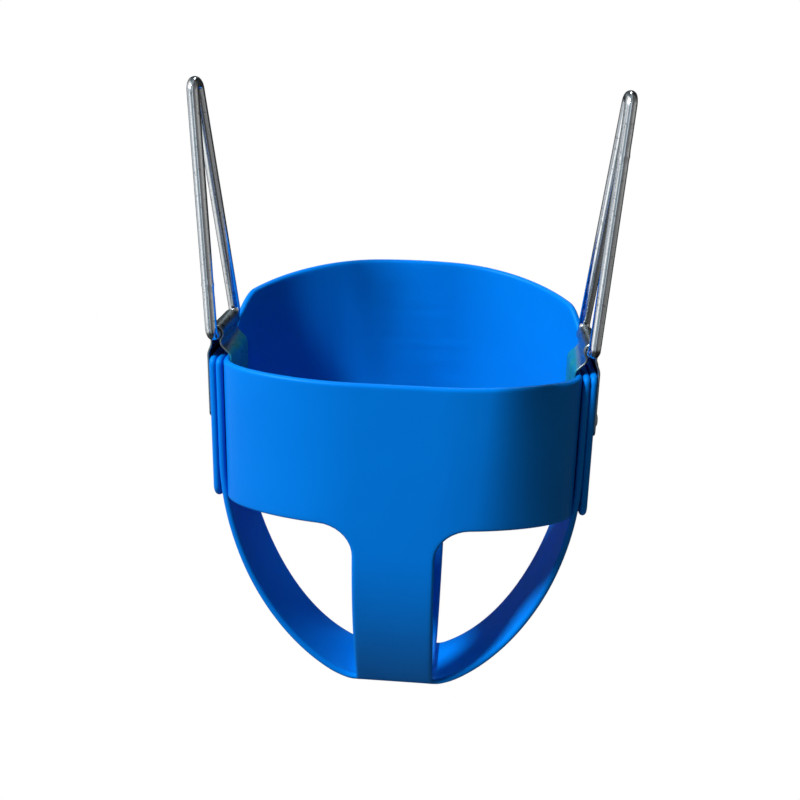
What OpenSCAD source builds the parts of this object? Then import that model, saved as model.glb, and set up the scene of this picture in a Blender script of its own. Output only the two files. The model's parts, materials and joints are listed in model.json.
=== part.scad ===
// Toddler bucket swing seat: two folded polymer mouldings, a pair of folded
// steel brackets riveted over their edges, and a pair of triangular hangers.
// +Z is up, the seat faces -Y, and the origin is the middle of the underside.

/* [Seat] */
// Width across the outer layer at the brackets
seat_w = 305; // [290:1:320]
// Height of the front rim above the underside of the seat pan
front_h = 294; // [270:1:310]
// Height of the back rim, at its middle, above the underside of the seat pan
back_h = 343; // [335:1:370]
// Height of the front band
band_h = 122; // [105:1:130]
// How far the back panel and its ears hang below the front band
ear_drop = 3; // [0:1:6]
// How far the front band stands ahead of the hanger bars
front_reach = 66; // [60:1:80]
// How far the back panel stands behind the hanger bars
back_reach = 119; // [105:1:130]
// Width of the front strap, the seat pan and the back strap
strap_w = 67; // [60:1:76]
// Radius where a strap widens into its band
strap_r = 27; // [18:1:32]
// Edge of the sling ahead of the hanger bars
sling_front = 26; // [25:1:30]
// Edge of the sling behind the hanger bars
sling_rear = 38; // [34:1:44]
// Thickness of the moulded sheet
sheet_t = 5.6; // [5:0.2:6]

/* [Brackets] */
// Length of a bracket along its hanger bar
bracket_l = 44; // [42:1:46]
// Thickness of the bracket steel
plate_t = 1.6; // [1.2:0.2:2]
// Depth of the flanges below the top of the sheets
flange_h = 53; // [46:1:60]
// Height of the hanger bar above the top of the sheets
bar_rise = 20; // [18:1:24]
// How far each bracket's neck leans out to its hanger bar
bar_out = 2.5; // [0:0.5:3]
// Angle by which each bracket turns in towards the back
toe_in = 5; // [0:1:6]

/* [Hangers] */
// Diameter of the hanger rod
rod_d = 9.5; // [8:0.5:10]
// Height of a hanger from its bar to its apex, on the rod's centre line
hanger_h = 192; // [150:1:210]
// Straight length of a hanger's bar between its bends
bar_l = 48; // [47:0.5:54]
// Centre-line radius of the bends in the rod
bend_r = 6.5; // [6.5:0.5:10]
// Outward lean of the hangers from upright
hanger_lean = 5; // [0:1:15]

/* [Rivets] */
// Diameter of a rivet's shank
rivet_d = 6.4; // [5:0.2:7]
// Diameter of a rivet's domed head
head_d = 12; // [10:0.5:14]
// Height of a rivet's domed head
head_h = 2.4; // [2:0.2:3.4]
// Diameter of the washers under the seat pan's rivets
washer_d = 18; // [15:1:20]

/* [Hidden] */
$fn = 96;
steel = "silver";
blue = "dodgerblue";
far = 400;
steps = 14;

// Layers at a bracket: the band's end is inside, the sling is between, the back's ear is outside
layer_gap = 0.2;
pitch = sheet_t + layer_gap;
stack_x = seat_w / 2 - sheet_t / 2 - pitch;
stack_half = pitch + sheet_t / 2;
clamp_half = bracket_l / 2 + 1;
ear_half = bracket_l / 2 + 3;
band_z = front_h - band_h;
plate_in = stack_half + 0.15;
plate_out = plate_in + plate_t;

// Loop of the bracket round the hanger bar, and the neck below it
loop_r = rod_d / 2 + 0.5;
neck_half = 3;
flare_top = bar_rise - loop_r - plate_t - 1;
flare_h = 11;

// The rod swells a little where it is bent
bend_swell = 0.1;
bend_lap = 0.6;

// Rivets
hole_d = rivet_d + 0.2;
washer_t = 1.4;
rivet_y = 12;
rivet_z = 12 - flange_h;
pan_rivets = [[-19, 0], [19, 0], [-19, 22], [19, 22]];
pan_lap = -13;
pan_top = sheet_t * 2 + layer_gap;

// The frame's origin lies under the middle of the seat, at the lowest rivet head
origin_y = (back_reach - front_reach) / 2;
ground = head_h + washer_t;

function lerp(a, b, s) = a + (b - a) * s;
function unit(v) = v / norm(v);
function smooth(s) = s * s * (3 - 2 * s);
function flip(points) = [for (i = [len(points) - 1:-1:0]) points[i]];
function mirrored(points) = [for (p = points) [-p[0], p[1]]];

// Points along a cubic curve that leaves a towards b and arrives at d from c
function curve(a, b, c, d) = [for (i = [0:steps]) let (s = i / steps, r = 1 - s)
    r * r * r * a + 3 * r * r * s * b + 3 * r * s * s * c + s * s * s * d];

// Mitred normal at point i of a path
function side_of(v) = [-v[1], v[0]];
function normal_at(p, i) = let (
    n0 = side_of(unit(p[max(i, 1)] - p[max(i, 1) - 1])),
    last = len(p) - 1,
    n1 = side_of(unit(p[min(i, last - 1) + 1] - p[min(i, last - 1)])),
    m = unit(n0 + n1)) m / (m * n0);

// Outline of a sheet of thickness t that follows a path
function strip(path, t) = concat(
    [for (i = [0:len(path) - 1]) path[i] + normal_at(path, i) * t / 2],
    [for (i = [len(path) - 1:-1:0]) path[i] - normal_at(path, i) * t / 2]);

// Plan position of a point given across and along the right-hand bracket
function at_bracket(x, y) = [stack_x + x * cos(toe_in) - y * sin(toe_in),
                             x * sin(toe_in) + y * cos(toe_in)];

// Plan direction out of a bracket's front or back end, turned inwards from the bar by an angle
function ahead(turn) = [sin(toe_in - turn), -cos(toe_in - turn)];
function behind(turn) = [-sin(toe_in + turn), cos(toe_in + turn)];

// Half plan of the front band, from its end in the bracket to its flat middle
front_clamp = at_bracket(-pitch, -clamp_half);
front_mid = [strap_w / 2, -front_reach + sheet_t / 2];
front_plan = concat([at_bracket(-pitch, clamp_half)],
    curve(front_clamp, front_clamp + 22 * ahead(18), front_mid + [44, 0], front_mid));

// Half plan of the back panel, from the ear's tip to its flat middle
back_clamp = at_bracket(pitch, clamp_half);
back_mid = [strap_w / 2, back_reach - sheet_t / 2];
back_plan = concat([at_bracket(pitch, -ear_half)],
    curve(back_clamp, back_clamp + 56 * behind(7), back_mid + [48, 0], back_mid));

// Half section of the sling, from the bracket down to the seat pan
sling_bend = [stack_x, band_z + 34];
sling_toe = [strap_w / 2 + 4, sheet_t / 2];
sling_half = concat([[stack_x, front_h]],
    curve(sling_bend, sling_bend - [0, 92], sling_toe + 62 * [cos(22), sin(22)], sling_toe),
    [[-sheet_t * 2, sheet_t / 2]]);

// Side outline of the sling, which narrows to fit between the other layers at a bracket
ear_z = band_z - ear_drop;
sling_side = [[-sling_front, -1], [sling_rear, -1], [sling_rear, ear_z - 24], [clamp_half, ear_z - 3],
              [clamp_half, far], [-sling_front, far]];

// Side profile of the front strap, which turns under to become the seat pan
strap_top = band_z - strap_r;
front_strap_start = [front_mid[1], strap_top];
front_strap_end = [-sling_front + sheet_t / 2, sheet_t / 2];
front_strap = concat(
    curve(front_strap_start, front_strap_start - [0, 52],
          front_strap_end + 50 * [-cos(62), sin(62)], front_strap_end),
    [[sling_rear, sheet_t / 2]]);

// Side profile of the back strap, which ends in a lap on top of the seat pan
lap_z = sheet_t * 1.5 + layer_gap;
back_strap_start = [back_mid[1], strap_top - ear_drop];
back_strap_end = [sling_rear + 2, lap_z];
back_strap = concat(
    curve(back_strap_start, back_strap_start - [0, 60], back_strap_end + [30, 16], back_strap_end),
    [[pan_lap, lap_z]]);

// Top of the back: a step up behind each bracket, then a long crown
rim_step = 17;
rim_step_y = bar_l / 2 + 14;
crown_half = seat_w / 2 + 4;
crown = [for (i = [-steps:steps]) let (s = i / steps)
    [crown_half * s, front_h + lerp(rim_step, back_h - front_h, sqrt(1 - s * s))]];

module from_origin() {
    translate([0, -origin_y, ground]) children();
}

module on_side(side) {
    mirror([side < 0 ? 1 : 0, 0, 0]) translate([stack_x, 0, front_h]) rotate([0, 0, toe_in]) children();
}

module both_sides() {
    children();
    mirror([1, 0, 0]) children();
}

// A section drawn in Y and Z, run across the seat
module across(width) {
    rotate([90, 0, 90]) linear_extrude(width, center = true) children();
}

// Openings either side of a strap, rounded where the strap meets its band
module leg_openings(z) {
    both_sides() along_y() difference() {
        translate([strap_w / 2, z - 1]) square([far, strap_r + 1]);
        difference() {
            translate([strap_w / 2, z]) square(strap_r);
            translate([strap_w / 2 + strap_r, z]) circle(strap_r);
        }
    }
}

// A shape drawn in X and Z, run right through from front to back
module along_y() {
    rotate([90, 0, 0]) linear_extrude(far * 2, center = true) children();
}

module plan_sheet(half, z, h) {
    translate([0, 0, z]) linear_extrude(h) polygon(strip(concat(half, flip(mirrored(half))), sheet_t));
}

// Shanks through a bracket, also used at a larger diameter for the holes
module bracket_shanks(d, half) {
    for (y = [-rivet_y, rivet_y])
        translate([-half, y, rivet_z]) rotate([0, 90, 0]) cylinder(d = d, h = half * 2);
}

module bracket_holes() {
    both_sides() on_side(1) bracket_shanks(hole_d, plate_out + 1);
}

module pan_shanks(d, z0, z1) {
    for (p = pan_rivets) translate([p[0], p[1], z0]) cylinder(d = d, h = z1 - z0);
}

module sling() {
    both_sides() intersection() {
        translate([stack_x, 0, 0]) rotate([90, 0, toe_in]) translate([-stack_x, 0, -far / 2])
            linear_extrude(far) polygon(strip(sling_half, sheet_t));
        across(far * 2) polygon(sling_side);
        translate([0, -far / 2, -1]) cube(far);
    }
}

module seat_moulding() {
    color(blue) from_origin() difference() {
        union() {
            difference() {
                plan_sheet(front_plan, strap_top, band_h + strap_r);
                leg_openings(strap_top);
            }
            across(strap_w) polygon(strip(front_strap, sheet_t));
            sling();
        }
        bracket_holes();
        pan_shanks(hole_d, -1, sheet_t + 1);
    }
}

module back_panel() {
    color(blue) from_origin() difference() {
        union() {
            difference() {
                plan_sheet(back_plan, strap_top - ear_drop, back_h - strap_top + ear_drop);
                leg_openings(strap_top - ear_drop);
                // The crown, cut along the back
                along_y() polygon(concat(crown, [[far, front_h], [far, far], [-far, far], [-far, front_h]]));
                // The ears, level with the front rim
                translate([-far / 2, rim_step_y - far, front_h]) cube([far, far, far]);
            }
            across(strap_w) polygon(strip(back_strap, sheet_t));
        }
        bracket_holes();
        pan_shanks(hole_d, sheet_t - 1, pan_top + 1);
    }
}

// Edge of a plate of the bracket's section, from the flange at x0 up to the neck at x1
function flare(x0, x1) = [for (i = [0:steps]) let (s = i / steps)
    [lerp(x0, x1, smooth(s)), flare_top - flare_h + flare_h * s]];

// The outline of the folded plate, down to the depth h, at its outer or its inner surface
module folded_outline(flange_x, neck_x, r, h) {
    translate([bar_out, bar_rise]) circle(r);
    polygon(concat([[-flange_x, -h], [flange_x, -h]], flare(flange_x, bar_out + neck_x),
        [[bar_out + neck_x, bar_rise], [bar_out - neck_x, bar_rise]],
        flip(flare(-flange_x, bar_out - neck_x))));
}

module bracket_section() {
    difference() {
        folded_outline(plate_out, neck_half + plate_t, loop_r + plate_t, flange_h);
        folded_outline(plate_in, neck_half, loop_r, flange_h + 1);
    }
}

module bracket(side) {
    color(steel) from_origin() on_side(side) difference() {
        rotate([90, 0, 0]) linear_extrude(bracket_l, center = true) bracket_section();
        bracket_shanks(hole_d, plate_out + 1);
    }
}

// A straight length of rod between two centre-line points in the YZ plane, run a little into its bends
module rod_between(a, b) {
    v = b - a;
    start = a - unit(v) * bend_lap;
    translate([0, start[0], start[1]]) rotate([-atan2(v[0], v[1]), 0, 0])
        cylinder(d = rod_d, h = norm(v) + bend_lap * 2);
}

// A bend in the rod about a centre, turning from angle a0 for the angle sweep
module rod_bend(centre, a0, sweep) {
    translate([0, centre[0], centre[1]]) rotate([90, 0, 90]) rotate([0, 0, a0])
        rotate_extrude(angle = sweep) translate([bend_r, 0]) circle(d = rod_d + bend_swell);
}

module hanger(side) {
    foot = bar_l / 2;
    apex = [0, hanger_h - bend_r];
    leg = apex - [foot, bend_r];
    out = unit([leg[1], -leg[0]]) * bend_r;
    tilt = atan2(out[1], out[0]);
    color(steel) from_origin() on_side(side) translate([bar_out, 0, bar_rise]) rotate([0, hanger_lean, 0]) {
        rod_between([-foot, 0], [foot, 0]);
        both_legs() {
            rod_bend([foot, bend_r], -90, 90 + tilt);
            rod_between([foot, bend_r] + out, apex + out);
        }
        rod_bend(apex, tilt, 180 - 2 * tilt);
    }
}

module both_legs() {
    children();
    mirror([0, 1, 0]) children();
}

// A domed head that stands on the plane z = 0
module dome() {
    r = (head_d * head_d / 4 + head_h * head_h) / (2 * head_h);
    rotate_extrude() intersection() {
        translate([0, head_h - r]) circle(r);
        square([head_d, head_h]);
    }
}

module bracket_rivets(side) {
    color(steel) from_origin() on_side(side) union() {
        bracket_shanks(rivet_d, plate_out);
        for (y = [-rivet_y, rivet_y], face = [-1, 1])
            translate([face * plate_out, y, rivet_z]) rotate([0, face * 90, 0]) dome();
    }
}

module seat_pan_rivets() {
    color(steel) from_origin() union() {
        pan_shanks(rivet_d, -washer_t, pan_top + washer_t);
        for (p = pan_rivets) {
            translate([p[0], p[1], pan_top + washer_t]) dome();
            translate([p[0], p[1], -washer_t]) mirror([0, 0, 1]) dome();
        }
    }
}

module seat_pan_washers() {
    color(steel) from_origin() for (p = pan_rivets, z = [-washer_t, pan_top])
        translate([p[0], p[1], z]) difference() {
            cylinder(d = washer_d, h = washer_t);
            translate([0, 0, -1]) cylinder(d = hole_d, h = washer_t + 2);
        }
}

seat_moulding();
back_panel();
bracket(-1);  // left_bracket
bracket(1);  // right_bracket
hanger(-1);  // left_hanger
hanger(1);  // right_hanger
bracket_rivets(-1);  // left_bracket_rivets
bracket_rivets(1);  // right_bracket_rivets
seat_pan_rivets();
seat_pan_washers();
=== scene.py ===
import json
import math

import bmesh
import bpy
import numpy as np
from mathutils import Matrix, Vector
from mathutils.geometry import delaunay_2d_cdt


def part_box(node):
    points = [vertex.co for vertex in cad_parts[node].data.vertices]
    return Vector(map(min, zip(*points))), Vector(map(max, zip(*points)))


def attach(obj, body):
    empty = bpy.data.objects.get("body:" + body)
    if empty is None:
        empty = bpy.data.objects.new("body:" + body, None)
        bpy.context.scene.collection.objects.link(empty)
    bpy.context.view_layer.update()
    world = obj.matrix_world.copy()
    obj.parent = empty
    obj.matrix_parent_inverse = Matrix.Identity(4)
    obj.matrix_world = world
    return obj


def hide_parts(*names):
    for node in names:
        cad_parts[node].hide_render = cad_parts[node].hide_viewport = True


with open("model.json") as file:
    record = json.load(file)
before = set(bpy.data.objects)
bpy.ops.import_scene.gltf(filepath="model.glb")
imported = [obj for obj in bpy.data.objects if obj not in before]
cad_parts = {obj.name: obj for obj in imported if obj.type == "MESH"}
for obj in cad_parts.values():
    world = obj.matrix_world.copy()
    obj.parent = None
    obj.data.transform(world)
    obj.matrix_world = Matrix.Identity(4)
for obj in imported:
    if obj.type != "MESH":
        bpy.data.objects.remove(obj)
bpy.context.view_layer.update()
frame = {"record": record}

# ---------------------------------------------------------------- sizes, in millimetres
MM = 0.001
SHEET_T = 5.6          # moulded sheet
LAYER_GAP = 0.2        # between the three layers in a bracket
BAND_H = 122.0         # front band, top to bottom
EAR_DROP = 3.0         # how far the back panel hangs below it
STRAP_W = 67.0         # front strap, seat pan and back strap
STRAP_R = 27.0         # flare of a strap into its band
SLING_FRONT = 26.0     # sling edges, ahead of and behind the hanger bars
SLING_REAR = 38.0
PLATE_T = 1.6          # bracket steel
BRACKET_L = 44.0       # bracket, along its hanger bar
ROD_D = 9.5
BAR_L = 48.0           # straight part of the hanger bar
BEND_R = 6.5
HEAD_D = 12.0          # rivet heads
HEAD_H = 2.4
SHANK_D = 6.4
RIVET_ALONG = 12.0     # bracket rivets, either side of the middle
RIVET_EDGE = 12.0      # and above the flanges' lower edge
RIVET_PLAY = 0.15      # between the flanges and the layers they clamp
WASHER_D = 18.0
WASHER_T = 1.4
PAN_RIVET_X = 19.0     # pan rivets, either side of the middle
PAN_RIVET_Y = 22.0     # and from the front pair to the rear pair
NECK_HALF = 3.0        # bracket neck, half the space between its sides
BAR_PLAY = 0.5         # between the hanger bar and the bracket's loop
RIM_STEP = 17.0        # least rise of the back's rim above the front rim
RISE_START = 8.0       # how far ahead of the hanger's rear bend the rim starts to rise
RISE_L = 46.0
GRID = 3.0             # mesh spacing inside a moulded sheet, and along its edge
EDGE_STEP = 1.6


def box_mm(node):
    lo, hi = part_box(node)
    return np.array(lo) / MM, np.array(hi) / MM


# ---------------------------------------------------------------- places, from the frame
JOINTS = {j["name"]: j for j in frame["record"]["behaviour"]["joints"]}
BAR = np.array(JOINTS["right_hanger_hinge"]["pos_m"]) / MM
BAR_AXIS = np.array(JOINTS["right_hanger_hinge"]["axis"])
TOE = math.atan2(-BAR_AXIS[0], BAR_AXIS[1])
SEAT_LO, SEAT_HI = box_mm("seat_moulding")
BACK_LO, BACK_HI = box_mm("back_panel")
PLATE_LO, PLATE_HI = box_mm("right_bracket")
GROUND = SEAT_LO[2]
RIM_Z = SEAT_HI[2]
CROWN_Z = BACK_HI[2]
BAND_Z = RIM_Z - BAND_H
STACK_X = (PLATE_LO[0] + PLATE_HI[0]) / 2
BAR_Y = (PLATE_LO[1] + PLATE_HI[1]) / 2
BAR_OUT = (BAR[0] - STACK_X) / math.cos(TOE)
BAR_RISE = BAR[2] - RIM_Z
PITCH = SHEET_T + LAYER_GAP
CLAMP_HALF = BRACKET_L / 2 + 1     # ends of the band and sling, along the bar
EAR_HALF = BRACKET_L / 2 + 3       # end of the back's ears
FLANGE_H = RIM_Z - PLATE_LO[2]
FRONT_Y = SEAT_LO[1]
BACK_Y = BACK_HI[1]
STRAP_TOP = BAND_Z - STRAP_R
MID_Z = GROUND + SHEET_T / 2
HALF_W = STRAP_W / 2


# ---------------------------------------------------------------- curves
def smoothstep(s):
    s = np.clip(s, 0.0, 1.0)
    return s * s * (3 - 2 * s)


def bezier(a, b, c, d, count=60):
    s = np.linspace(0, 1, count)[:, None]
    a, b, c, d = (np.asarray(v, float) for v in (a, b, c, d))
    return (1 - s) ** 3 * a + 3 * (1 - s) ** 2 * s * b + 3 * (1 - s) * s * s * c + s ** 3 * d


def at_bracket(across, along):
    """Plan place of a point given across and along the right-hand bracket."""
    c, s = math.cos(TOE), math.sin(TOE)
    return np.array([STACK_X + across * c - along * s, BAR_Y + across * s + along * c])


def leaving(end, degrees):
    """Plan direction out of a bracket's front (-1) or back (1) end, turned inwards from the bar."""
    turn = math.radians(degrees)
    return np.array([-end * math.sin(TOE + end * turn), end * math.cos(TOE + end * turn)])


class Path:
    """A plane curve measured by its length, with its corners softened. It runs on straight past both ends."""

    def __init__(self, points, soften=1.5, step=0.5):
        points = np.asarray(points, float)
        keep = np.r_[True, np.linalg.norm(np.diff(points, axis=0), axis=1) > 1e-6]
        points = points[keep]
        run = np.r_[0, np.cumsum(np.linalg.norm(np.diff(points, axis=0), axis=1))]
        tail = 12.0
        count = int(run[-1] / step) + 1
        at = np.linspace(0, run[-1], count)
        pts = np.column_stack([np.interp(at, run, points[:, k]) for k in (0, 1)])
        step = at[1]
        first, last = pts[1] - pts[0], pts[-1] - pts[-2]
        extra = int(tail / step)
        n = np.arange(extra, 0, -1)[:, None]
        pts = np.vstack([pts[0] - first * n, pts, pts[-1] + last * n[::-1]])
        half = max(1, int(soften * 3 / step))
        kernel = np.exp(-0.5 * (np.arange(-half, half + 1) * step / soften) ** 2)
        kernel /= kernel.sum()
        padded = np.vstack([pts[:1] - first * np.arange(half, 0, -1)[:, None], pts,
                            pts[-1:] + last * np.arange(1, half + 1)[:, None]])
        self.pts = np.column_stack([np.convolve(padded[:, k], kernel, "valid") for k in (0, 1)])
        run = np.r_[0, np.cumsum(np.linalg.norm(np.diff(self.pts, axis=0), axis=1))]
        self.run = run - run[extra]
        self.length = self.run[-1 - extra]

    def at(self, s):
        return np.column_stack([np.interp(s, self.run, self.pts[:, k]) for k in (0, 1)])

    def where(self, axis, value):
        """Length at which one coordinate first reaches a value."""
        v = self.pts[:, axis] - value
        i = int(np.argmax(v[:-1] * v[1:] <= 0))
        f = v[i] / (v[i] - v[i + 1]) if v[i] != v[i + 1] else 0.0
        return self.run[i] + f * (self.run[i + 1] - self.run[i])


# ---------------------------------------------------------------- sheets with rounded edges
def arc_corner(corner, before, after, r, count=9):
    """Points of a rounded corner between the directions before -> corner -> after."""
    corner, before, after = (np.asarray(v, float) for v in (corner, before, after))
    u = (before - corner) / np.linalg.norm(before - corner)
    v = (after - corner) / np.linalg.norm(after - corner)
    half = math.acos(np.clip(u @ v, -1, 1)) / 2
    reach = r / math.tan(half)
    centre = corner + (u + v) / np.linalg.norm(u + v) * (r / math.sin(half))
    a, b = corner + u * reach - centre, corner + v * reach - centre
    out = []
    total = math.acos(np.clip(a @ b / (r * r), -1, 1))
    for i in range(count + 1):
        f = i / count
        w = (math.sin((1 - f) * total) * a + math.sin(f * total) * b) / math.sin(total)
        out.append(centre + w)
    return out


def rounded_loop(corners):
    """Closed outline from (x, y, radius) corners; radius 0 keeps a corner sharp."""
    out = []
    n = len(corners)
    for i, (x, y, r) in enumerate(corners):
        if r <= 0:
            out.append(np.array([x, y], float))
        else:
            out += arc_corner((x, y), corners[i - 1][:2], corners[(i + 1) % n][:2], r)
    return np.array(out)


def resample_loop(loop, step):
    out = []
    for a, b in zip(loop, np.roll(loop, -1, axis=0)):
        n = max(1, int(round(np.linalg.norm(b - a) / step)))
        out += [a + (b - a) * k / n for k in range(n)]
    return np.array(out)


def inward(loop):
    """Mitred inward normals of a counter-clockwise loop."""
    e = np.roll(loop, -1, axis=0) - loop
    e /= np.linalg.norm(e, axis=1)[:, None]
    n1 = np.column_stack([-e[:, 1], e[:, 0]])
    n0 = np.roll(n1, 1, axis=0)
    return (n0 + n1) / (1 + (n0 * n1).sum(1))[:, None]


def distance_inside(points, loop):
    """Distance from each point to the loop, negative outside."""
    a, b = loop, np.roll(loop, -1, axis=0)
    ab = b - a
    best = np.full(len(points), 1e9)
    inside = np.zeros(len(points), bool)
    for p0, p1, d in zip(a, b, ab):
        s = np.clip(((points - p0) @ d) / (d @ d), 0, 1)
        best = np.minimum(best, np.linalg.norm(points - (p0 + s[:, None] * d), axis=1))
        cross = (p0[1] > points[:, 1]) != (p1[1] > points[:, 1])
        if cross.any():
            x = p0[0] + (points[:, 1] - p0[1]) / (p1[1] - p0[1] + 1e-12) * d[0]
            inside ^= cross & (points[:, 0] < x)
    return np.where(inside, best, -best)


def normals_of(place, uv, tags):
    h = 0.4
    du = place(uv + [h, 0], tags) - place(uv - [h, 0], tags)
    dv = place(uv + [0, h], tags) - place(uv - [0, h], tags)
    n = np.cross(du, dv)
    return n / np.linalg.norm(n, axis=1)[:, None]


def filled(loop, inner, edge_r, grid):
    """Flat points and faces that fill the inner loop, and the numbers of the points on that loop."""
    lo, hi = loop.min(0), loop.max(0)
    gx, gy = (np.arange(lo[k] + grid / 2, hi[k], grid) for k in (0, 1))
    pts = np.array(np.meshgrid(gx, gy)).reshape(2, -1).T
    pts = pts[distance_inside(pts, loop) > edge_r + grid * 0.45]
    count = len(inner)
    verts = [Vector(p) for p in inner] + [Vector(p) for p in pts]
    made = delaunay_2d_cdt(verts, [], [list(range(count))], 1, 1e-5)
    flat, faces, sources = made[0], made[2], made[3]
    index = {old: new for new, olds in enumerate(sources) for old in olds}
    return np.array([v[:] for v in flat]), faces, [index[i] for i in range(count)]


def skin(top, bottom, faces, rings, full_round):
    """Both faces of a sheet, and its rounded edge in rings of point numbers from the rim inwards."""
    bm = bmesh.new()
    shared = set(rings[0]) if full_round else set()
    tv = [bm.verts.new(p * MM) for p in top]
    bv = [tv[i] if i in shared else bm.verts.new(p * MM) for i, p in enumerate(bottom)]
    count = len(rings[0])

    def face(vs):
        vs = [v for i, v in enumerate(vs) if v not in vs[:i]]
        if len(vs) > 2:
            bm.faces.new(vs)

    for f in faces:
        face([tv[i] for i in f])
        face([bv[i] for i in reversed(f)])
    for outer, inside in zip(rings[:-1], rings[1:]):
        for k in range(count):
            m = (k + 1) % count
            face([tv[outer[k]], tv[outer[m]], tv[inside[m]], tv[inside[k]]])
            face([bv[outer[m]], bv[outer[k]], bv[inside[k]], bv[inside[m]]])
    if not full_round:
        rim = rings[0]
        for k in range(count):
            m = (k + 1) % count
            face([bv[rim[k]], bv[rim[m]], tv[rim[m]], tv[rim[k]]])
    bmesh.ops.join_triangles(bm, faces=[f for f in bm.faces if len(f.verts) == 3],
                             angle_face_threshold=0.3, angle_shape_threshold=0.7)
    bmesh.ops.recalc_face_normals(bm, faces=bm.faces)
    return bm


def sheet(name, loop, place, thickness, edge_r, grid, step, label=None, rings=5, relief=None):
    """A bent sheet: loop is its flat outline (counter-clockwise), place(uv, tags) its middle surface.

    label(uv) gives the tags, which say what part of the sheet a point is on where place needs to know.
    relief(uv) is how far a point is pressed out of that surface.
    """
    loop = resample_loop(loop, step)
    n_in = inward(loop)
    angles = np.linspace(0, math.pi / 2, rings + 1)
    offsets = edge_r * (1 - np.cos(angles))
    heights = (thickness / 2 - edge_r) + edge_r * np.sin(angles)
    loops = [loop + n_in * d for d in offsets]
    flat, faces, inner_ids = filled(loop, loops[-1], edge_r, grid)
    count = len(loop)
    starts = [len(flat) + k * count for k in range(rings)]
    ring_ids = [list(range(start, start + count)) for start in starts] + [inner_ids]
    uv = np.vstack([flat] + loops[:-1])
    lift = np.concatenate([np.full(len(flat), heights[-1])]
                          + [np.full(count, h) for h in heights[:-1]])[:, None]
    tags = label(uv) if label else None
    mid = place(uv, tags)
    nrm = normals_of(place, uv, tags)
    if relief is not None:
        mid = mid + nrm * relief(uv)[:, None]
    full_round = heights[0] < 1e-6
    return mesh_object(name, skin(mid + nrm * lift, mid - nrm * lift, faces, ring_ids, full_round))


def mesh_object(name, bm):
    mesh = bpy.data.meshes.new(name)
    bm.to_mesh(mesh)
    bm.free()
    mesh.shade_smooth()
    obj = bpy.data.objects.new(name, mesh)
    bpy.context.scene.collection.objects.link(obj)
    return obj


# ---------------------------------------------------------------- the two mouldings
# Each plan and profile follows a cubic curve. The bare lengths in one are the curve's handles.
def mirror_path(half):
    """A whole plan path from its right-hand half, which runs to the middle."""
    half = np.asarray(half)
    return np.vstack([half, (half * [-1, 1])[::-1]])


def front_plan():
    start = at_bracket(-PITCH, -CLAMP_HALF)
    mid = np.array([HALF_W, FRONT_Y + SHEET_T / 2])
    half = np.vstack([[at_bracket(-PITCH, CLAMP_HALF)],
                      bezier(start, start + 22 * leaving(-1, 18), mid + [44, 0], mid)])
    return Path(mirror_path(half)[::-1], soften=4)


def back_plan():
    start = at_bracket(PITCH, CLAMP_HALF)
    mid = np.array([HALF_W, BACK_Y - SHEET_T / 2])
    half = np.vstack([[at_bracket(PITCH, -EAR_HALF)],
                      bezier(start, start + 56 * leaving(1, 7), mid + [48, 0], mid)])
    return Path(mirror_path(half)[::-1], soften=4)


def front_profile():
    """Seat pan and front strap in Y and Z, from the pan's rear edge to the front rim."""
    start = np.array([FRONT_Y + SHEET_T / 2, STRAP_TOP])
    end = np.array([BAR_Y - SLING_FRONT + SHEET_T / 2, MID_Z])
    climb = math.radians(62)
    strap = bezier(start, start - [0, 52], end + 50 * np.array([-math.cos(climb), math.sin(climb)]), end)
    return Path(np.vstack([[[BAR_Y + SLING_REAR, MID_Z]], strap[::-1], [[start[0], RIM_Z]]]), soften=2.6)


def back_profile():
    """Lap on the seat pan and back strap in Y and Z, from the lap's front edge to the crown."""
    start = np.array([BACK_Y - SHEET_T / 2, STRAP_TOP - EAR_DROP])
    lap_z = MID_Z + PITCH
    end = np.array([BAR_Y + SLING_REAR + 2, lap_z])
    strap = bezier(start, start - [0, 60], end + [30, 16], end)
    return Path(np.vstack([[[BAR_Y - 13.0, lap_z]], strap[::-1], [[start[0], CROWN_Z]]]), soften=3)


def sling_half():
    """Half section of the sling in X and Z, from the middle of the pan up to the bracket."""
    bend = np.array([STACK_X, BAND_Z + 34])
    toe = np.array([HALF_W + 4, MID_Z])
    rise = math.radians(22)
    arc = bezier(bend, bend - [0, 92], toe + 62 * np.array([math.cos(rise), math.sin(rise)]), toe)
    return Path(np.vstack([[[0, MID_Z]], arc[::-1], [[STACK_X, RIM_Z]]]), soften=3)


def mirrored(corners):
    """The left-hand corners of an outline whose first and last corners are on the middle line."""
    return [(-x, y, r) for x, y, r in corners[-2:0:-1]]


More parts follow.
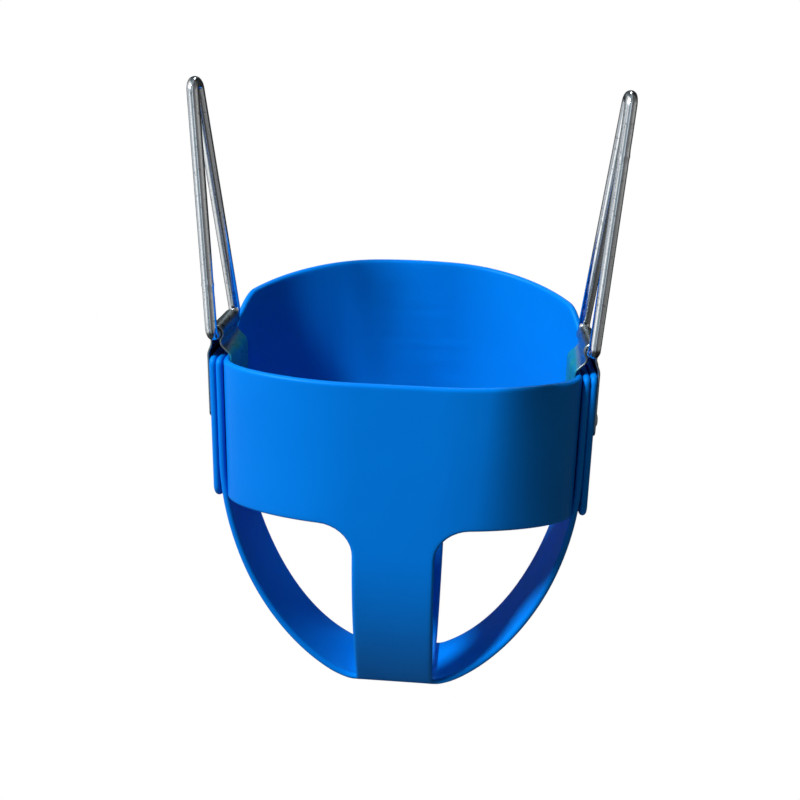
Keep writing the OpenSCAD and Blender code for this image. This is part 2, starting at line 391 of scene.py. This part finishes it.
def build_seat():
    plan, profile, sling = front_plan(), front_profile(), sling_half()
    half_plan = plan.length / 2
    edge = BAR_Y - SLING_FRONT           # sling's front edge, as a flat coordinate
    turn_up = 2.5                        # how far behind it the pan starts to turn up
    edge_s = profile.where(0, edge + turn_up) + turn_up
    blend_w = 22.0                       # where the pan runs out into the sling
    toe_w = 150.0                        # where the sling turns to the bracket's toe-in

    def flat_q(s):
        return edge + (edge_s - s)

    def place(uv, tags):
        p, q = uv[:, 0], uv[:, 1]
        prof = profile.at(edge_s + edge - q)
        # the band and the strap
        xy = plan.at(half_plan + p)
        mid_y = FRONT_Y + SHEET_T / 2
        tee = np.column_stack([xy[:, 0], xy[:, 1] - mid_y + prof[:, 0], prof[:, 1]])
        # the seat pan and the sling
        u = sling.at(np.abs(p))
        near = 1 - smoothstep((np.abs(p) - HALF_W) / blend_w)
        y = q + near * (prof[:, 0] - q)
        rise = near * (prof[:, 1] - MID_Z)
        turn = TOE * smoothstep((np.abs(p) - HALF_W) / toe_w)
        across = u[:, 0] - np.sin(turn) * (y - BAR_Y)
        wing = np.column_stack([np.sign(p) * across, BAR_Y + np.cos(turn) * (y - BAR_Y), u[:, 1] + rise])
        return np.where(tags[:, None], tee, wing)

    def label(uv):
        return uv[:, 1] < edge - 1e-4

    top_q = flat_q(profile.where(1, RIM_Z))
    band_q = flat_q(profile.where(1, BAND_Z))
    wing_p = sling.length
    rear = BAR_Y + SLING_REAR
    below_ear = [sling.where(1, BAND_Z - EAR_DROP - d) for d in (24, 3)]      # where the rear edge steps in
    clamped = BAR_Y + CLAMP_HALF
    # the right half of the outline: each corner's place and radius
    right = [
        (0, top_q, 0), (half_plan, top_q, 5), (half_plan, band_q, 9),
        (HALF_W, band_q, STRAP_R), (HALF_W, edge, 0), (wing_p, edge, 6),
        (wing_p, clamped, 5), (below_ear[1], clamped, 8), (below_ear[0], rear, 12), (0, rear, 0)]
    loop = rounded_loop(right + mirrored(right))
    return sheet("seat_moulding_sheet", loop, place, SHEET_T, SHEET_T / 2, GRID, EDGE_STEP, label)


def rim_height(plan):
    """Height of the back's rim along the plan: level at the ears, a smooth rise, then a long crown."""
    half = plan.length / 2
    start = EAR_HALF + BAR_L / 2 - RISE_START
    crown_half = STACK_X + PITCH + SHEET_T / 2 + 4        # the crown runs out just beyond the ears

    def height(p):
        s = half - np.abs(p)                                  # distance from the ear's tip
        x = np.abs(plan.at(half + p)[:, 0])
        arch = np.sqrt(np.clip(1 - (x / crown_half) ** 2, 0, 1))
        crown = RIM_STEP + (CROWN_Z - RIM_Z - RIM_STEP) * arch
        return RIM_Z + crown * smoothstep((s - start) / RISE_L)

    return height


def build_back():
    plan, profile = back_plan(), back_profile()
    half_plan = plan.length / 2
    mid_y = BACK_Y - SHEET_T / 2
    height = rim_height(plan)

    def place(uv, tags):
        prof = profile.at(uv[:, 1])
        xy = plan.at(half_plan + uv[:, 0])
        return np.column_stack([xy[:, 0], xy[:, 1] - mid_y + prof[:, 0], prof[:, 1]])

    band_s, rim_s = profile.where(1, BAND_Z - EAR_DROP), profile.where(1, RIM_Z)
    lower = [(0, 0, 0), (HALF_W, 0, 6), (HALF_W, band_s, STRAP_R),
             (half_plan, band_s, 12), (half_plan, rim_s, 7)]
    p = np.linspace(half_plan - 2 * EAR_HALF, 0, 90)
    rim = [(a, rim_s + b - RIM_Z, 0) for a, b in zip(p, height(p))]
    right = lower + rim
    loop = rounded_loop(right + mirrored(right))
    return sheet("back_panel_sheet", loop, place, SHEET_T, SHEET_T / 2, GRID, EDGE_STEP)


# ---------------------------------------------------------------- steel
def side_matrix(side):
    """From a bracket's own axes (across, along, up from the rim) to the frame."""
    m = Matrix.Translation(Vector((STACK_X, BAR_Y, RIM_Z)) * MM) @ Matrix.Rotation(TOE, 4, "Z")
    return (Matrix.Scale(-1, 4, (1, 0, 0)) @ m) if side < 0 else m


def move_mesh(obj, matrix):
    obj.data.transform(matrix)
    if matrix.determinant() < 0:
        obj.data.flip_normals()
    return obj


FLANGE_X = PITCH + SHEET_T / 2 + RIVET_PLAY      # inner face of a flange, from the bracket's middle
LOOP_R = ROD_D / 2 + BAR_PLAY


def bracket_path():
    """Middle line of the folded plate, across and up: flange, flare, neck, loop and down again."""
    plate_x = FLANGE_X + PLATE_T / 2
    neck_x = NECK_HALF + PLATE_T / 2
    loop_r = LOOP_R + PLATE_T / 2
    flare_h = 11.0
    flare_top = BAR_RISE - LOOP_R - PLATE_T - 1
    s = np.linspace(0, 1, 24)
    turn = math.asin(neck_x / loop_r)
    sweep = np.linspace(math.pi - turn, -math.pi + turn, 70)
    loop = np.column_stack([BAR_OUT + loop_r * np.sin(-sweep), BAR_RISE + loop_r * np.cos(sweep)])

    def leg(sign):
        x = sign * plate_x + (BAR_OUT + sign * neck_x - sign * plate_x) * smoothstep(s)
        flare = np.column_stack([x, flare_top - flare_h * (1 - s)])
        return np.vstack([[[sign * plate_x, -FLANGE_H]], flare])

    return Path(np.vstack([leg(-1), loop, leg(1)[::-1]]), soften=0.8, step=0.25)


def build_bracket(side):
    path = bracket_path()
    half_l = BRACKET_L / 2
    corner_r = 6.0
    loop = rounded_loop([(0, -half_l, corner_r), (path.length, -half_l, corner_r),
                         (path.length, half_l, corner_r), (0, half_l, corner_r)])
    rib_s = path.where(1, -4.0)
    rib_l, rib_w, rib_h = 11.0, 8.0, 1.3

    def place(uv, tags):
        xz = path.at(uv[:, 0])
        return np.column_stack([xz[:, 0], uv[:, 1], xz[:, 1]])

    def relief(uv):
        """A pressed rib down the middle of each flare."""
        out = np.zeros(len(uv))
        for s0 in (rib_s, path.length - rib_s):
            r2 = ((uv[:, 0] - s0) / rib_l) ** 2 + (uv[:, 1] / rib_w) ** 2
            out += rib_h * smoothstep(1.25 - r2)
        return out

    name = "left_bracket_plate" if side < 0 else "right_bracket_plate"
    plate = sheet(name, loop, place, PLATE_T, 0.55, 1.6, 1.2, rings=3, relief=relief)
    return move_mesh(plate, side_matrix(side))


def hanger_path():
    """Middle line of the bent rod, along and up from its bar."""
    apex_z = box_mm("right_hanger")[1][2]
    tall = (apex_z - BAR[2] - ROD_D / 2) / math.cos(hanger_lean())
    foot = BAR_L / 2
    top = tall - BEND_R
    leg = np.array([-foot, top - BEND_R])
    out = np.array([leg[1], -leg[0]]) / np.linalg.norm(leg)
    tilt = math.atan2(out[1], out[0])

    def arc(cx, cy, a0, a1):
        a = np.linspace(a0, a1, 14)
        return [(cx + BEND_R * math.cos(t), cy + BEND_R * math.sin(t)) for t in a]

    def line(a, b):
        n = max(2, int(np.linalg.norm(np.subtract(b, a)) / 2.0))
        return [tuple(np.add(a, np.subtract(b, a) * k / n)) for k in range(1, n)]

    right = arc(foot, BEND_R, -math.pi / 2, tilt)
    crown = arc(0, top, tilt, math.pi - tilt)
    left = arc(-foot, BEND_R, math.pi - tilt, math.pi * 1.5)
    turns = (right, crown, left)
    pts = []
    for bend, following in zip(turns, turns[1:] + turns[:1]):
        pts += bend + line(bend[-1], following[0])
    return np.array(pts)


def hanger_lean():
    """How far the hanger leans outwards from upright."""
    eye = next(m for m in frame["record"]["mounts"] if m["name"] == "right_hanger_eye")
    d = np.array(eye["pos_m"]) / MM - BAR
    return math.atan2(math.hypot(d[0], d[1]), d[2])


def build_hanger(side):
    pts = hanger_path()
    n, seg = len(pts), 28
    weld_h = 42.0 if side < 0 else 150.0                      # height of the butt weld on the front leg
    weld_l, weld_rise, heated_l, heated_dip = 1.6, 0.055, 3.0, 0.02
    weld = int(np.argmin(np.where(pts[:, 0] < 0, np.abs(pts[:, 1] - weld_h), 1e9)))
    run = np.r_[0, np.cumsum(np.linalg.norm(np.diff(pts, axis=0), axis=1))]
    bm = bmesh.new()
    rows = []
    for i, (y, z) in enumerate(pts):
        t = pts[(i + 1) % n] - pts[i - 1]
        t = t / np.linalg.norm(t)
        side_v = Vector((0, t[1], -t[0]))
        d = run[i] - run[weld]
        bead = weld_rise * math.exp(-(d / weld_l) ** 2)
        dip = heated_dip * math.exp(-((abs(d) - 2 * heated_l) / heated_l) ** 2)
        r = ROD_D / 2 * (1 + bead - dip)
        row = []
        for k in range(seg):
            a = 2 * math.pi * k / seg
            v = Vector((0, y, z)) + side_v * (r * math.cos(a)) + Vector((1, 0, 0)) * (r * math.sin(a))
            row.append(bm.verts.new(v * MM))
        rows.append(row)
    for i in range(n):
        for k in range(seg):
            a, b = rows[i], rows[(i + 1) % n]
            bm.faces.new([a[k], a[(k + 1) % seg], b[(k + 1) % seg], b[k]])
    bmesh.ops.recalc_face_normals(bm, faces=bm.faces)
    name = "left_hanger_rod" if side < 0 else "right_hanger_rod"
    rod = mesh_object(name, bm)
    up = Matrix.Translation(Vector((BAR_OUT, 0, BAR_RISE)) * MM) @ Matrix.Rotation(hanger_lean(), 4, "Y")
    return move_mesh(rod, side_matrix(side) @ up)


def revolve(bm, profile, matrix, seg=36, closed=False):
    """A solid of revolution about Z from (radius, height) points.

    They start and end on the axis, or go round in a closed ring clear of it.
    """
    rows = []
    for r, h in profile:
        if r < 1e-9:
            rows.append([bm.verts.new(matrix @ Vector((0, 0, h * MM)))])
        else:
            rows.append([bm.verts.new(matrix @ Vector((r * math.cos(2 * math.pi * k / seg) * MM,
                                                        r * math.sin(2 * math.pi * k / seg) * MM, h * MM)))
                         for k in range(seg)])
    for a, b in zip(rows, rows[1:] + rows[:1] if closed else rows[1:]):
        for k in range(seg):
            m = (k + 1) % seg
            if len(a) == 1:
                bm.faces.new([a[0], b[k], b[m]])
            elif len(b) == 1:
                bm.faces.new([a[k], b[0], a[m]])
            else:
                bm.faces.new([a[k], b[k], b[m], a[m]])


def dome_profile():
    """Domed rivet head, from its rounded rim to the top of its shallow dome."""
    r, h, e = HEAD_D / 2, HEAD_H, 0.5
    rim = [(r - e + e * math.sin(a), e - e * math.cos(a)) for a in np.linspace(0.2, math.pi / 2, 5)]
    dome = [(r * math.cos(a), e + (h - e) * math.sin(a) ** 0.9) for a in np.linspace(0.12, math.pi / 2, 12)]
    return rim + dome[:-1] + [(0, h)]


def rivet_profile(length):
    """Both heads and the shank, from the axis under one head to the axis over the other."""
    head = dome_profile()
    low = [(r, -h) for r, h in head[::-1]]
    high = [(r, length + h) for r, h in head]
    sunk = 0.05
    return low + [(SHANK_D / 2, sunk), (SHANK_D / 2, length - sunk)] + high


def build_bracket_rivets(side):
    half = FLANGE_X + PLATE_T
    bm = bmesh.new()
    for along in (-RIVET_ALONG, RIVET_ALONG):
        m = side_matrix(side) @ Matrix.Translation(Vector((-half, along, RIVET_EDGE - FLANGE_H)) * MM)
        revolve(bm, rivet_profile(2 * half), m @ Matrix.Rotation(math.pi / 2, 4, "Y"))
    bmesh.ops.recalc_face_normals(bm, faces=bm.faces)
    return mesh_object("left_rivet_set" if side < 0 else "right_rivet_set", bm)


PAN_SPOTS = [(x, BAR_Y + y) for x in (-PAN_RIVET_X, PAN_RIVET_X) for y in (0.0, PAN_RIVET_Y)]


def build_pan_rivets():
    bm = bmesh.new()
    length = 2 * SHEET_T + LAYER_GAP + 2 * WASHER_T
    for x, y in PAN_SPOTS:
        revolve(bm, rivet_profile(length), Matrix.Translation(Vector((x, y, GROUND - WASHER_T)) * MM))
    bmesh.ops.recalc_face_normals(bm, faces=bm.faces)
    return mesh_object("pan_rivet_set", bm)


def build_pan_washers():
    bm = bmesh.new()
    r, hole, t, e = WASHER_D / 2, SHANK_D / 2 + 0.2, WASHER_T, 0.3
    ring = [(hole, e), (hole + e, 0), (r - e, 0), (r, e),
            (r, t - e), (r - e, t), (hole + e, t), (hole, t - e)]
    for x, y in PAN_SPOTS:
        for z in (GROUND - WASHER_T, GROUND + 2 * SHEET_T + LAYER_GAP):
            revolve(bm, ring, Matrix.Translation(Vector((x, y, z)) * MM), seg=40, closed=True)
    bmesh.ops.recalc_face_normals(bm, faces=bm.faces)
    return mesh_object("pan_washer_set", bm)


# ---------------------------------------------------------------- materials
def new_material(name):
    mat = bpy.data.materials.new(name)
    mat.use_nodes = True
    nodes, links = mat.node_tree.nodes, mat.node_tree.links
    return mat, nodes, links, nodes["Principled BSDF"]


def noise(nodes, links, coords, scale, detail=3.0, rough=0.5):
    n = nodes.new("ShaderNodeTexNoise")
    n.inputs["Scale"].default_value = scale
    n.inputs["Detail"].default_value = detail
    n.inputs["Roughness"].default_value = rough
    links.new(coords, n.inputs["Vector"])
    return n.outputs["Fac"]


def ramp(nodes, links, fac, stops):
    r = nodes.new("ShaderNodeValToRGB")
    while len(r.color_ramp.elements) < len(stops):
        r.color_ramp.elements.new(0.5)
    for e, (pos, col) in zip(r.color_ramp.elements, stops):
        e.position = pos
        e.color = (*col, 1)
    links.new(fac, r.inputs["Fac"])
    return r.outputs["Color"]


def greys(stops):
    return [(pos, (level,) * 3) for pos, level in stops]


def map_range(nodes, links, value, a, b, c, d):
    m = nodes.new("ShaderNodeMapRange")
    for k, v in zip(("From Min", "From Max", "To Min", "To Max"), (a, b, c, d)):
        m.inputs[k].default_value = v
    links.new(value, m.inputs["Value"])
    return m.outputs["Result"]


def bump(nodes, links, height, strength, distance, normal=None):
    b = nodes.new("ShaderNodeBump")
    b.inputs["Strength"].default_value = strength
    b.inputs["Distance"].default_value = distance
    links.new(height, b.inputs["Height"])
    if normal is not None:
        links.new(normal, b.inputs["Normal"])
    return b.outputs["Normal"]


MIX_FACTOR, MIX_A, MIX_B, MIX_RESULT = 0, 6, 7, 2      # a colour Mix node's sockets


def colour_mix(nodes, blend):
    mix = nodes.new("ShaderNodeMix")
    mix.data_type, mix.blend_type = "RGBA", blend
    return mix


def multiply(nodes, links, first, second):
    mix = colour_mix(nodes, "MULTIPLY")
    mix.inputs[MIX_FACTOR].default_value = 1.0
    links.new(first, mix.inputs[MIX_A])
    links.new(second, mix.inputs[MIX_B])
    return mix.outputs[MIX_RESULT]


def scaled(nodes, links, coords, factors):
    m = nodes.new("ShaderNodeMapping")
    m.inputs["Scale"].default_value = factors
    links.new(coords, m.inputs["Vector"])
    return m.outputs["Vector"]


def polymer_material():
    """Moulded blue polymer with a soft, slightly uneven sheen and faint ripples high on the back."""
    mat, nodes, links, bsdf = new_material("blue_polymer")
    pos = nodes.new("ShaderNodeNewGeometry").outputs["Position"]
    broad = noise(nodes, links, pos, 9.0, 3.0)
    colour = ramp(nodes, links, broad, [(0.3, (0.0, 0.16, 0.66)), (0.7, (0.0, 0.18, 0.72))])
    links.new(colour, bsdf.inputs["Base Color"])
    wave = noise(nodes, links, pos, 22.0, 1.0)
    fine = noise(nodes, links, pos, 1500.0, 2.0)
    # ripples, flat streaks that fade away from the middle of the back
    streaks = noise(nodes, links, scaled(nodes, links, pos, (14, 14, 110)), 1.0, 1.0)
    distance = nodes.new("ShaderNodeVectorMath")
    distance.operation = "DISTANCE"
    links.new(pos, distance.inputs[0])
    distance.inputs[1].default_value = (0.0, BACK_Y * MM, (CROWN_Z - 72) * MM)
    near = map_range(nodes, links, distance.outputs["Value"], 0.03, 0.075, 1.0, 0.0)
    ripple = multiply(nodes, links, streaks, near)
    n = bump(nodes, links, wave, 0.35, 0.0012)
    n = bump(nodes, links, ripple, 0.5, 0.0011, n)
    n = bump(nodes, links, fine, 0.15, 0.0001, n)
    links.new(n, bsdf.inputs["Normal"])
    smudge = noise(nodes, links, pos, 30.0, 5.0, 0.6)
    links.new(map_range(nodes, links, smudge, 0.3, 0.7, 0.36, 0.46), bsdf.inputs["Roughness"])
    bsdf.inputs["IOR"].default_value = 1.4
    bsdf.inputs["Specular IOR Level"].default_value = 0.3
    bsdf.inputs["Specular Tint"].default_value = (0.12, 0.55, 1.0, 1)
    return mat


def zinc_material(name, base, rough, grain, uneven=0.22):
    """Zinc-plated steel: mostly smooth, a little mottled, with small dull specks."""
    mat, nodes, links, bsdf = new_material(name)
    pos = nodes.new("ShaderNodeNewGeometry").outputs["Position"]
    patch = noise(nodes, links, pos, 60.0, 4.0, 0.6)
    cloud = ramp(nodes, links, patch, [(0.35, tuple(c * (1 - uneven) for c in base)), (0.6, base)])
    spots = noise(nodes, links, pos, 420.0, 2.0, 0.6)
    speck = ramp(nodes, links, spots, greys([(0.31, 0.55), (0.39, 1.0)]))
    links.new(multiply(nodes, links, cloud, speck), bsdf.inputs["Base Color"])
    bsdf.inputs["Metallic"].default_value = 1.0
    mottled = noise(nodes, links, pos, 160.0, 3.0, 0.6)
    dullness = map_range(nodes, links, mottled, 0.3, 0.7, rough - 0.05, rough + 0.09)
    links.new(dullness, bsdf.inputs["Roughness"])
    n = bump(nodes, links, noise(nodes, links, pos, 60.0, 2.0), 0.45 * uneven, 0.0006)
    n = bump(nodes, links, noise(nodes, links, pos, grain, 3.0), 0.55 * uneven, 0.0002, n)
    links.new(n, bsdf.inputs["Normal"])
    return mat


def math_node(nodes, links, operation, first, second=None):
    m = nodes.new("ShaderNodeMath")
    m.operation = operation
    links.new(first, m.inputs[0])
    if second is not None:
        links.new(second, m.inputs[1])
    return m.outputs[0]


def add_painted_reflection(mat):
    """Painted reflection: a dull blue-green tint, less metallic, on the bracket's inner face below its neck,
    standing in for the blue moulding mirrored in the steel.
    """
    nodes, links = mat.node_tree.nodes, mat.node_tree.links
    bsdf = nodes["Principled BSDF"]
    parts = nodes.new("ShaderNodeSeparateXYZ")
    links.new(nodes.new("ShaderNodeNewGeometry").outputs["Position"], parts.inputs[0])
    out = math_node(nodes, links, "ABSOLUTE", parts.outputs["X"])
    inner = map_range(nodes, links, out, (STACK_X - 3) * MM, (STACK_X - 7) * MM, 0, 1)
    low = map_range(nodes, links, parts.outputs["Z"], (RIM_Z + 17) * MM, (RIM_Z + 9) * MM, 0, 1)
    # mask of the painted reflection: the inner face, below the neck
    reflection_mask = math_node(nodes, links, "MULTIPLY", inner, low)
    tint = colour_mix(nodes, "MIX")
    plain = bsdf.inputs["Base Color"].links[0].from_socket
    links.new(reflection_mask, tint.inputs[MIX_FACTOR])
    links.new(plain, tint.inputs[MIX_A])
    # colour of the painted reflection of the blue moulding
    tint.inputs[MIX_B].default_value = (0.01, 0.24, 0.34, 1)
    links.new(tint.outputs[MIX_RESULT], bsdf.inputs["Base Color"])
    links.new(map_range(nodes, links, reflection_mask, 0, 1, 1.0, 0.35), bsdf.inputs["Metallic"])
    return mat


# ---------------------------------------------------------------- assembly
def finish_piece(obj, material, body, node):
    obj.data.materials.clear()
    obj.data.materials.append(material)
    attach(obj, body)
    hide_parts(node)


polymer = polymer_material()
rod_zinc = zinc_material("bright_zinc_rod", (0.88, 0.92, 0.95), 0.13, 700.0, 0.09)
# the plate's inner faces carry a painted reflection of the blue moulding
plate_zinc = add_painted_reflection(zinc_material("zinc_plate", (0.36, 0.43, 0.45), 0.3, 500.0))
rivet_zinc = zinc_material("zinc_rivet", (0.62, 0.64, 0.66), 0.34, 900.0)

finish_piece(build_seat(), polymer, "seat", "seat_moulding")
finish_piece(build_back(), polymer, "seat", "back_panel")
for side, word in ((-1, "left"), (1, "right")):
    finish_piece(build_bracket(side), plate_zinc, "seat", word + "_bracket")
    finish_piece(build_hanger(side), rod_zinc, word + "_hanger", word + "_hanger")
    finish_piece(build_bracket_rivets(side), rivet_zinc, "seat", word + "_bracket_rivets")
finish_piece(build_pan_rivets(), rivet_zinc, "seat", "seat_pan_rivets")
finish_piece(build_pan_washers(), rivet_zinc, "seat", "seat_pan_washers")


# ---------------------------------------------------------------- stage, light and camera
MIDDLE = Vector((0, 0, 0.2))                   # what the lights aim at
KEY_AZIMUTH, KEY_ELEVATION = 50.0, 45.0        # degrees, upper left of the camera


def ray_kinds(nodes):
    path = nodes.new("ShaderNodeLightPath")
    return path.outputs["Is Camera Ray"], path.outputs["Is Glossy Ray"]


def mix_shaders(nodes, links, fac, first, second):
    mix = nodes.new("ShaderNodeMixShader")
    links.new(fac, mix.inputs[0])
    links.new(first, mix.inputs[1])
    links.new(second, mix.inputs[2])
    return mix.outputs[0]


def staged_quad(name, corners):
    mesh = bpy.data.meshes.new(name)
    mesh.from_pydata(corners, [], [(0, 1, 2, 3)])
    quad = bpy.data.objects.new(name, mesh)
    bpy.context.scene.collection.objects.link(quad)
    return quad


def stage_floor():
    """A white floor well below the hanging seat, which throws little light back up at it."""
    s, z = 8.0, -0.35
    floor = staged_quad("studio_floor", [(-s, -s, z), (s, -s, z), (s, s, z), (-s, s, z)])
    mat, nodes, links, bsdf = new_material("pale_floor")
    bsdf.inputs["Base Color"].default_value = (0.2, 0.2, 0.2, 1)
    bsdf.inputs["Roughness"].default_value = 0.9
    glow = nodes.new("ShaderNodeEmission")
    glow.inputs["Color"].default_value = (1, 1, 1, 1)
    seen, _ = ray_kinds(nodes)
    surface = mix_shaders(nodes, links, seen, bsdf.outputs[0], glow.outputs[0])
    links.new(surface, nodes["Material Output"].inputs["Surface"])
    floor.data.materials.append(mat)
    floor.visible_glossy = False


def area_light(name, place, aim, size, power, mirrored=True):
    data = bpy.data.lights.new(name, "AREA")
    data.shape = "DISK"
    data.size = size
    data.energy = power
    obj = bpy.data.objects.new(name, data)
    obj.visible_glossy = mirrored
    obj.location = place
    obj.rotation_mode = "QUATERNION"
    obj.rotation_quaternion = (Vector(aim) - Vector(place)).to_track_quat("-Z", "Y")
    bpy.context.scene.collection.objects.link(obj)


def direction(azimuth, elevation):
    """Azimuth 0 is in front and grows to the left."""
    az, el = math.radians(azimuth), math.radians(elevation)
    return Vector((-math.sin(az) * math.cos(el), -math.cos(az) * math.cos(el), math.sin(el)))


def from_direction(azimuth, elevation, distance):
    return direction(azimuth, elevation) * distance + MIDDLE


def studio_world():
    """White behind the seat, faint all-round light on it, and a patchy sky for it to reflect."""
    world = bpy.data.worlds.new("studio")
    world.use_nodes = True
    nodes, links = world.node_tree.nodes, world.node_tree.links
    plain = nodes["Background"]
    plain.inputs["Color"].default_value = (1, 1, 1, 1)

    faint = nodes.new("ShaderNodeBackground")
    faint.inputs["Color"].default_value = (0.4, 1, 0.62, 1)
    faint.inputs["Strength"].default_value = 0.1
    sky = nodes.new("ShaderNodeBackground")
    sky.inputs["Strength"].default_value = 1.6
    way = nodes.new("ShaderNodeTexCoord").outputs["Generated"]
    parts = nodes.new("ShaderNodeSeparateXYZ")
    links.new(way, parts.inputs[0])

    def by(axis, stops):
        fac = map_range(nodes, links, parts.outputs[axis], -1, 1, 0, 1)
        return ramp(nodes, links, fac, stops)

    sides = by("X", [(0.0, (0.55, 0.6, 0.66)), (0.06, (1.0, 1.0, 1.0)), (0.17, (1.0, 1.0, 1.0)),
                     (0.27, (0.3, 0.37, 0.43)), (0.42, (0.26, 0.32, 0.36)), (0.53, (0.6, 0.66, 0.7)),
                     (0.64, (0.1, 0.1, 0.11)), (0.85, (0.12, 0.12, 0.12)), (1.0, (0.3, 0.29, 0.28))])
    depth = by("Y", greys([(0.0, 0.8), (0.4, 1.0), (0.55, 0.8), (0.75, 0.25), (0.95, 0.14)]))
    height = by("Z", greys([(0.0, 0.08), (0.2, 0.15), (0.3, 0.8), (0.7, 1.0), (1.0, 0.6)]))
    patches = ramp(nodes, links, noise(nodes, links, way, 3.1, 2.0), greys([(0.4, 0.32), (0.56, 1.0)]))
    plan = multiply(nodes, links, sides, depth)
    view = multiply(nodes, links, plan, multiply(nodes, links, height, patches))
    links.new(view, sky.inputs["Color"])
    seen, glossy = ray_kinds(nodes)
    lit = mix_shaders(nodes, links, glossy, faint.outputs[0], sky.outputs[0])
    links.new(mix_shaders(nodes, links, seen, lit, plain.outputs[0]), nodes["World Output"].inputs["Surface"])
    bpy.context.scene.world = world


def stage_flag():
    """A card that keeps the key light off the right-hand end of the front band. Nothing else sees it."""
    to_key = direction(KEY_AZIMUTH, KEY_ELEVATION)
    across = direction(KEY_AZIMUTH + 90, 0) * -1
    upward = to_key.cross(across)
    wide, tall, ahead = 0.03, 0.2, 0.1
    shaded = Vector((STACK_X - 50, FRONT_Y + 14, RIM_Z)) * MM      # where the shadow starts on the band's rim
    left = shaded.dot(across) - 0.002
    top = shaded.dot(upward) + 0.022
    near = to_key * (shaded.dot(to_key) + ahead)
    flag = staged_quad("flag", [near + across * u + upward * v for u, v in (
        (left, top - tall), (left + wide, top - tall), (left + wide, top), (left, top))])
    flag.visible_camera = flag.visible_glossy = flag.visible_diffuse = False


def studio():
    bpy.context.scene.view_settings.view_transform = "Standard"
    stage_floor()
    stage_flag()
    studio_world()
    area_light("key", from_direction(KEY_AZIMUTH, KEY_ELEVATION, 4.0), MIDDLE, 0.7, 250)
    area_light("back_fill", from_direction(205, 28, 2.6), MIDDLE, 1.6, 22, mirrored=False)
    area_light("rim", from_direction(185, 62, 2.5), MIDDLE, 0.5, 8)


def camera():
    """The photograph's viewpoint: in front, a little above, seen through a short telephoto lens."""
    data = bpy.data.cameras.new("camera")
    data.lens, data.sensor_width = 56.6, 36.0
    cam = bpy.data.objects.new("camera", data)
    pitch, yaw, roll = math.radians(21.7), math.radians(-4.63), math.radians(1.24)
    cam.location = (0.0749, -0.9785, 0.6406)
    tilt = Matrix.Rotation(math.pi / 2 - pitch, 4, "X") @ Matrix.Rotation(roll, 4, "Z")
    turn = Matrix.Rotation(-yaw, 4, "Z") @ tilt
    cam.rotation_mode = "QUATERNION"
    cam.rotation_quaternion = turn.to_quaternion()
    bpy.context.scene.collection.objects.link(cam)
    bpy.context.scene.camera = cam


studio()
camera()
